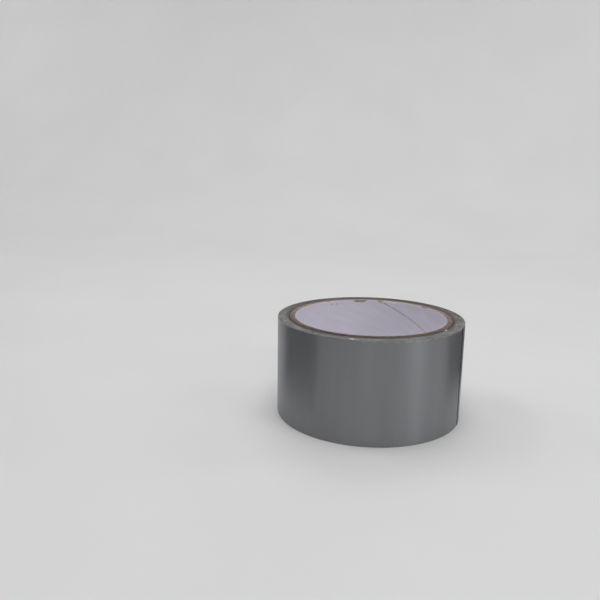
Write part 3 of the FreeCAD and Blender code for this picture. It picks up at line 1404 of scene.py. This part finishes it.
    def add_length(self, number: int, start: float, end: float) -> None:
        """Makes one length of the tail: film, adhesive and the cloth's yarns.

        Args:
            number: The length's number, from the roll to the free end.
            start: The angle where it starts, a little before its fold line.
            end: The angle where it ends.
        """
        is_last = number == len(self.measures.hinges_deg)
        film_rows = self.rows(start, end, self.tail_step_deg)
        film = self.add_tail_sheet(Layer.FILM, number, film_rows, self.columns(fine=True), is_last)
        rows = self.rows(start, end, math.degrees(self.adhesive_step_along / self.measures.outer_radius))
        fine = np.linspace(0, 1, int(self.measures.width / self.adhesive_step_across) + 1)
        adhesive = self.add_tail_sheet(Layer.ADHESIVE, number, rows, fine, is_last)
        yarns = self.add_yarns(number, start, end, is_last)
        for piece in (film, adhesive, yarns):
            self.bend(piece, number)
            self.pieces.append(piece)
        LOG.info("tail length %d: %.1f to %.1f degrees", number, start, end)

    def add_tail_sheet(
        self, layer: Layer, number: int, rows: np.ndarray, share: np.ndarray, is_last: bool
    ) -> bpy.types.Object:
        """Makes the film or the adhesive of one length of the tail.

        Args:
            layer: The layer.
            number: The length's number.
            rows: The angle of each row.
            share: The share of the width of each column.
            is_last: Whether the tape's cut end is on this length.

        Returns:
            The new object.
        """
        inside, outside, strip = self.sheet(layer, rows, share)
        if layer is Layer.ADHESIVE:
            inside = self.sink_between_yarns(inside, strip, rows[0])
        if is_last:
            inside, outside = (self.slant_end(face, rows, share) for face in (inside, outside))
        name = f"tail_{layer.name.lower()}_{number}"
        piece = make_shell(f"loose_{name}", inside, outside, strip, self.DRESSINGS[layer])
        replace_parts(piece, name)
        return piece

    def slant_end(self, face: np.ndarray, rows: np.ndarray, share: np.ndarray) -> np.ndarray:
        """Turns the last rows of a face so that the cut runs slightly askew across the tape, and is uneven.

        Args:
            face: The face's points.
            rows: The angle of each row.
            share: The share of the width of each column.

        Returns:
            The moved points.
        """
        near_end = np.clip((rows - rows[0]) / (rows[-1] - rows[0]), 0, 1)[:, None] ** 2
        uneven = self.end_jag_deg * Ripple(31, 0.03, 0.4)(share)
        turn = np.radians(near_end * ((0.5 - share) * self.end_slant_deg + uneven + self.end_trim_deg))
        x, y = face[..., 0], face[..., 1]
        turned = [x * np.cos(turn) - y * np.sin(turn), x * np.sin(turn) + y * np.cos(turn), face[..., 2]]
        return np.stack(turned, axis=-1)

    def sink_between_yarns(self, inside: np.ndarray, strip: np.ndarray, start: float) -> np.ndarray:
        """Lets the adhesive's free face sink between the yarns of the cloth behind it.

        It is also thinner just before the fold line, where a bend presses it against the turn below.

        Args:
            inside: Points of the face towards the roll.
            strip: Where they lie along and across the strip.
            start: The angle where the length starts.

        Returns:
            The moved points.
        """
        flank = 1.6

        def near(position: np.ndarray, spacing: float, half: float) -> np.ndarray:
            """One on a yarn, falling to nothing between two."""
            off = np.abs((position + spacing / 2) % spacing - spacing / 2)
            return np.clip(flank - off / half, 0, 1)

        along, across = strip[..., 0], strip[..., 1]
        wider = 0.03 * MM
        on_warp = near(across, self.warp_spacing, self.warp_half_wide + wider)
        ridge = np.maximum(on_warp, near(along, self.weft_spacing, self.weft_half_wide + wider))
        from_start = along - self.path.length(np.float64(start))
        deepest, slope = 0.6, 1.4
        from_deepest = np.abs(from_start / self.overlap_before_fold - deepest)
        pressed = np.clip(slope * (1 - from_deepest), 0, 1)
        between = 1 - ridge * ridge * (3 - 2 * ridge)
        sink = np.maximum(self.sink * between, self.pressed_sink * pressed)
        reach = np.hypot(inside[..., 0], inside[..., 1])
        scale = ((reach + sink) / reach)[..., None]
        return np.concatenate([inside[..., :2] * scale, inside[..., 2:]], axis=-1)

    def add_yarns(self, number: int, start: float, end: float, is_last: bool) -> bpy.types.Object:
        """Makes the cloth of one length of the tail: flat warp yarns along it and weft yarns across it.

        Args:
            number: The length's number.
            start: The angle where it starts.
            end: The angle where it ends.
            is_last: Whether the warp yarns are cut at the tape's end here.

        Returns:
            One object with all the yarns.
        """
        bottom, top = Layer.SCRIM.value
        middle = (bottom + top) / 2
        points: list[np.ndarray] = []
        faces: list[list[int]] = []
        strips: list[np.ndarray] = []

        def add_yarn(
            angle: np.ndarray, z: np.ndarray, lift: np.ndarray, half_wide: float, warp: bool
        ) -> None:
            """Adds one flat yarn that follows a line of the strip.

            Args:
                angle: The angle of each point of the line.
                z: Its height.
                lift: How far the yarn's crimp raises it.
                half_wide: Half the yarn's width.
                warp: Whether it runs along the strip.
            """
            offset = sum(len(block) for block in points)
            radius = (self.path.radius(angle, middle) + lift)[:, None]
            turn = np.radians(np.array([0, 60, 120, 180, 240, 300]))
            wide, thick = np.cos(turn) * half_wide, np.sin(turn) * self.yarn_half_thick
            if warp:
                block = polar(angle[:, None], radius + thick, z[:, None] + wide)
            else:
                block = polar(angle[:, None] + np.degrees(wide / radius), radius + thick, z[:, None])
            rows, spokes = block.shape[:2]
            points.append(block.reshape(-1, 3))
            along = self.path.length(np.repeat(angle, spokes))
            strips.append(np.stack([along, block[..., 2].ravel()], axis=-1))
            for row in range(rows - 1):
                for spoke in range(spokes):
                    a, b = offset + row * spokes + spoke, offset + row * spokes + (spoke + 1) % spokes
                    faces.append([a, b, b + spokes, a + spokes])
            faces.append(list(range(offset + spokes - 1, offset - 1, -1)))
            faces.append(list(range(offset + (rows - 1) * spokes, offset + rows * spokes)))

        warp_z = np.arange(self.warp_spacing, self.measures.width - self.yarn_inset, self.warp_spacing)
        fray = np.random.default_rng(number).uniform(*self.fray_deg, len(warp_z))
        for z, loose in zip(warp_z, fray):
            past_end = (0.5 - z / self.measures.width) * self.end_slant_deg + loose if is_last else 0.0
            rows = self.rows(start, end + past_end, self.warp_step_deg)
            crimp = self.crimp * np.sin(np.pi * self.path.length(rows) / self.weft_spacing)
            add_yarn(rows, np.full_like(rows, z), crimp, self.warp_half_wide, warp=True)
        first = math.ceil(self.path.length(np.float64(start)) / self.weft_spacing)
        last = math.floor(self.path.length(np.float64(end)) / self.weft_spacing)
        for pick in range(first, last + 1):
            behind_end = math.degrees(pick * self.weft_spacing / self.path.last_radius)
            angle = self.measures.tape_end_deg + behind_end
            if not start + self.weft_margin_deg < angle < end - self.weft_margin_deg:
                continue
            z = np.linspace(self.yarn_inset, self.measures.width - self.yarn_inset, self.weft_points)
            lift = np.full_like(z, -self.weft_drop)
            add_yarn(np.full_like(z, angle), z, lift, self.weft_half_wide, warp=False)
        name = f"tail_scrim_{number}"
        piece = make_mesh(f"loose_{name}", np.concatenate(points), faces, [0] * len(faces), sharp_deg=70.0)
        piece.data.materials.append(CottonYarn().material())
        write_strip_uv(piece, np.concatenate(strips))
        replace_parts(piece, name)
        return piece

    def bend(self, piece: bpy.types.Object, number: int) -> None:
        """Bakes a piece of the tail's place into its mesh; it gets no parent, so it does not turn about its
        fold line.

        Args:
            piece: The piece, with no parent.
            number: The length's number; not used.
        """
        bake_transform(piece)

    def add_end_bead(self) -> None:
        """Makes the bead of adhesive that stands along the tape's cut end, near black as painted shade for
        the shadow line at the cut.
        """
        margin, past_end_deg, sunk = 0.4 * MM, 0.08, 0.02 * MM
        z = np.linspace(margin, self.measures.width - margin, 110)
        uneven = Ripple(43, 0.002, 0.02)(z)
        slant = (0.5 - z / self.measures.width) * self.end_slant_deg
        end = self.measures.tape_end_deg + slant + self.end_trim_deg
        turn = np.linspace(0, 2 * math.pi, 10, endpoint=False)[:, None]
        half_wide = self.bead_half_deg + self.bead_uneven_deg * uneven
        half_high = self.bead_half_high + self.bead_uneven_high * uneven
        angle = end + past_end_deg + np.cos(turn) * half_wide
        radius = self.measures.outer_radius - sunk + np.sin(turn) * half_high
        points = polar(angle, radius, z)
        spokes, length = points.shape[:2]
        index = np.arange(spokes * length).reshape(spokes, length)
        around = np.roll(index, -1, axis=0)
        faces = np.stack([index[:, :-1], around[:, :-1], around[:, 1:], index[:, 1:]], axis=-1).reshape(-1, 4)
        capped = faces.tolist() + [index[::-1, 0].tolist(), index[:, -1].tolist()]
        piece = make_mesh("tape_end_bead", points, capped, [0] * len(capped), sharp_deg=80.0)
        # near-black finish: painted shade for the shadow along the cut end
        piece.data.materials.append(CutEndShadeAdhesive().material())
        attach(piece, f"tail_{len(self.measures.hinges_deg)}")
        self.pieces.append(piece)

    def add_shreds(self) -> None:
        """Makes the small white shreds of adhesive that the knife left on the upper side face."""
        up = Vector((0, 0, 1))
        below_edge = 0.15 * MM
        top = self.measures.width - below_edge
        for number, shred in enumerate(self.shreds, start=1):
            centre = Vector(polar(shred.angle_deg, shred.place_mm * MM, top).tolist())
            piece = make_blob(f"adhesive_shred_{number}", centre, up, shred.size_mm, 50 + number)
            piece.data.materials.append(PulledAdhesive().material())
            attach(piece, "roll")
            self.pieces.append(piece)


# ---------------------------------------------------------------------------------------------------
# The studio
# ---------------------------------------------------------------------------------------------------


@dataclass(frozen=True)
class Softbox:
    """A rectangular light that faces a point.

    Attributes:
        name: What the light is called.
        place: Where it hangs.
        aim: The point that it faces.
        size: Its width and height.
        watts: Its power.
        tint: Its colour, sRGB.
    """

    name: str
    place: tuple[float, float, float]
    aim: tuple[float, float, float]
    size: tuple[float, float]
    watts: float
    tint: str = "FFFFFF"

    def hang(self) -> None:
        """Adds the light to the scene."""
        data = bpy.data.lights.new(self.name, "AREA")
        data.shape = "RECTANGLE"
        data.size, data.size_y = self.size
        data.energy = self.watts
        data.color = linear(self.tint)[:3]
        light = bpy.data.objects.new(self.name, data)
        light.location = self.place
        light.rotation_euler = (Vector(self.aim) - Vector(self.place)).to_track_quat("-Z", "Y").to_euler()
        bpy.context.scene.collection.objects.link(light)


@dataclass(frozen=True)
class Camera:
    """The product camera: where it stands and how it is turned."""

    place: tuple[float, float, float] = (0.0, -0.3079, 0.12375)
    pitch_deg: float = 12.18
    yaw_deg: float = -6.703
    roll_deg: float = -0.774
    lens_mm: float = 37.01
    sensor_mm: float = 36.0

    def set_up(self) -> None:
        """Adds the camera to the scene and makes it the active one."""
        data = bpy.data.cameras.new("product_camera")
        data.lens, data.sensor_width = self.lens_mm, self.sensor_mm
        data.clip_start, data.clip_end = 0.01, 20.0
        camera = bpy.data.objects.new("product_camera", data)
        camera.matrix_world = self.matrix()
        bpy.context.scene.collection.objects.link(camera)
        bpy.context.scene.camera = camera

    def matrix(self) -> Matrix:
        """The camera's place and turn: yaw about +Z, then pitch down, then roll about its own line of sight.

        Returns:
            The matrix that takes camera coordinates to the scene's.
        """
        turn = (
            Matrix.Rotation(math.radians(-self.yaw_deg), 4, "Z")
            @ Matrix.Rotation(math.radians(90 - self.pitch_deg), 4, "X")
            @ Matrix.Rotation(math.radians(-self.roll_deg), 4, "Z")
        )
        return Matrix.Translation(self.place) @ turn


@dataclass(frozen=True)
class Flag:
    """A curved dark flag beside the roll, which only reflections see.

    Attributes:
        name: What the flag is called.
        from_deg: The direction of its first edge from the roll, anticlockwise from +X.
        to_deg: The direction of its other edge.
        height: How high it reaches.
        distance: How far it stands from the roll's axis.
        bottom: How far it hangs above the floor.
    """

    name: str
    from_deg: float
    to_deg: float
    height: float
    distance: float = 0.085
    bottom: float = 0.003

    def set_up(self) -> None:
        """Adds the flag to the scene."""
        columns = 13
        angle = np.linspace(self.from_deg, self.to_deg, columns)[:, None]
        points = polar(angle, self.distance, np.array([self.bottom, self.height]))
        index = np.arange(2 * columns).reshape(columns, 2)
        faces = np.stack([index[:-1, 0], index[1:, 0], index[1:, 1], index[:-1, 1]], axis=-1)
        flag = make_mesh(self.name, points, faces.tolist(), [0] * len(faces))
        flag.data.materials.append(FlagCloth().material())
        flag.visible_camera = False
        flag.visible_shadow = False
        flag.visible_diffuse = False


@dataclass
class Studio:
    """The pale sweep that the roll stands on, the flags, the lights and the camera."""

    floor_front: float = -0.8
    bend_start: float = 0.55
    bend_radius: float = 0.55
    wall_height: float = 2.2
    half_width: float = 0.95
    sky: str = "CBCBCB"
    sky_strength: float = 1.0
    flags: tuple[Flag, ...] = (
        Flag("left_flag", 176.0, 224.0, 0.11),
        Flag("right_flag", -12.0, 34.0, 0.065),
    )
    lights: tuple[Softbox, ...] = (
        Softbox("overhead_softbox", (0.0, 0.1, 1.2), (0.0, 0.05, 0.0), (1.4, 1.4), 6.4),
        Softbox("top_softbox", (0.0, -0.12, 1.15), (0.0, 0.0, 0.0), (0.6, 0.6), 3.5),
        Softbox("left_softbox", (-1.0, 0.1, 0.9), (0.0, 0.0, 0.03), (0.7, 0.7), 2.2),
        Softbox("back_softbox", (0.0, 1.0, 1.4), (0.0, 0.0, 0.0), (1.2, 0.6), 3.4),
        Softbox("front_softbox", (0.0, -1.2, 1.2), (0.0, 0.0, 0.0), (1.0, 0.6), 5.0),
        Softbox("right_strip", (0.66, -0.42, 0.35), (0.0, 0.0, 0.03), (0.3, 0.5), 1.35),
        Softbox("left_wall_softbox", (-1.2, 0.5, 0.75), (-0.75, 1.15, 0.45), (0.5, 0.5), 2.8),
        Softbox("right_wall_softbox", (1.2, 0.5, 0.75), (0.8, 1.15, 0.45), (0.5, 0.5), 4.8),
    )

    def build(self) -> None:
        """Makes the sweep, the flags, the lights and the camera."""
        self.add_sweep()
        for flag in self.flags:
            flag.set_up()
        for light in self.lights:
            light.hang()
        self.add_sky()
        Camera().set_up()
        bpy.context.scene.view_settings.view_transform = "Standard"

    def add_sweep(self) -> None:
        """Makes the floor that bends up into a wall behind the roll."""
        bend = np.radians(np.linspace(0, 90, 25))
        bent = self.bend_start + self.bend_radius * np.sin(bend)
        y = np.concatenate([[self.floor_front], bent, bent[-1:]])
        z = np.concatenate([[0.0], self.bend_radius * (1 - np.cos(bend)), [self.wall_height]])
        x = np.array([-self.half_width, self.half_width])
        points = np.stack(np.broadcast_arrays(x[None, :], y[:, None], z[:, None]), axis=-1)
        index = np.arange(len(y) * 2).reshape(len(y), 2)
        faces = np.stack([index[:-1, 0], index[:-1, 1], index[1:, 1], index[1:, 0]], axis=-1)
        sweep = make_mesh("paper_sweep", points, faces.tolist(), [0] * len(faces))
        sweep.data.materials.append(BackdropPaper().material())

    def add_sky(self) -> None:
        """Sets the pale sky that the camera sees, hidden from diffuse and glossy rays."""
        world = bpy.data.worlds.new("room")
        bpy.context.scene.world = world
        world.use_nodes = True
        world.cycles_visibility.diffuse = False
        world.cycles_visibility.glossy = False
        background = world.node_tree.nodes["Background"]
        background.inputs["Color"].default_value = linear(self.sky)
        background.inputs["Strength"].default_value = self.sky_strength


# ---------------------------------------------------------------------------------------------------
# The build
# ---------------------------------------------------------------------------------------------------


def main() -> None:
    """Loads the frame and builds the roll and its studio in order."""
    logging.basicConfig(level=logging.INFO, format="%(name)s: %(message)s")
    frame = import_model()
    measures = RollMeasures.from_frame(frame)
    LOG.info("core radius %.3f mm", measures.core_radius / MM)
    LOG.info("outer radius %.3f mm", measures.outer_radius / MM)
    core = PaperCore(measures)
    core.build()
    tape = Tape(measures, TapePath(measures))
    tape.build()
    Studio().build()
    LOG.info("%d pieces of core and %d of tape", len(core.pieces), len(tape.pieces))


if __name__ == "__main__":
    main()
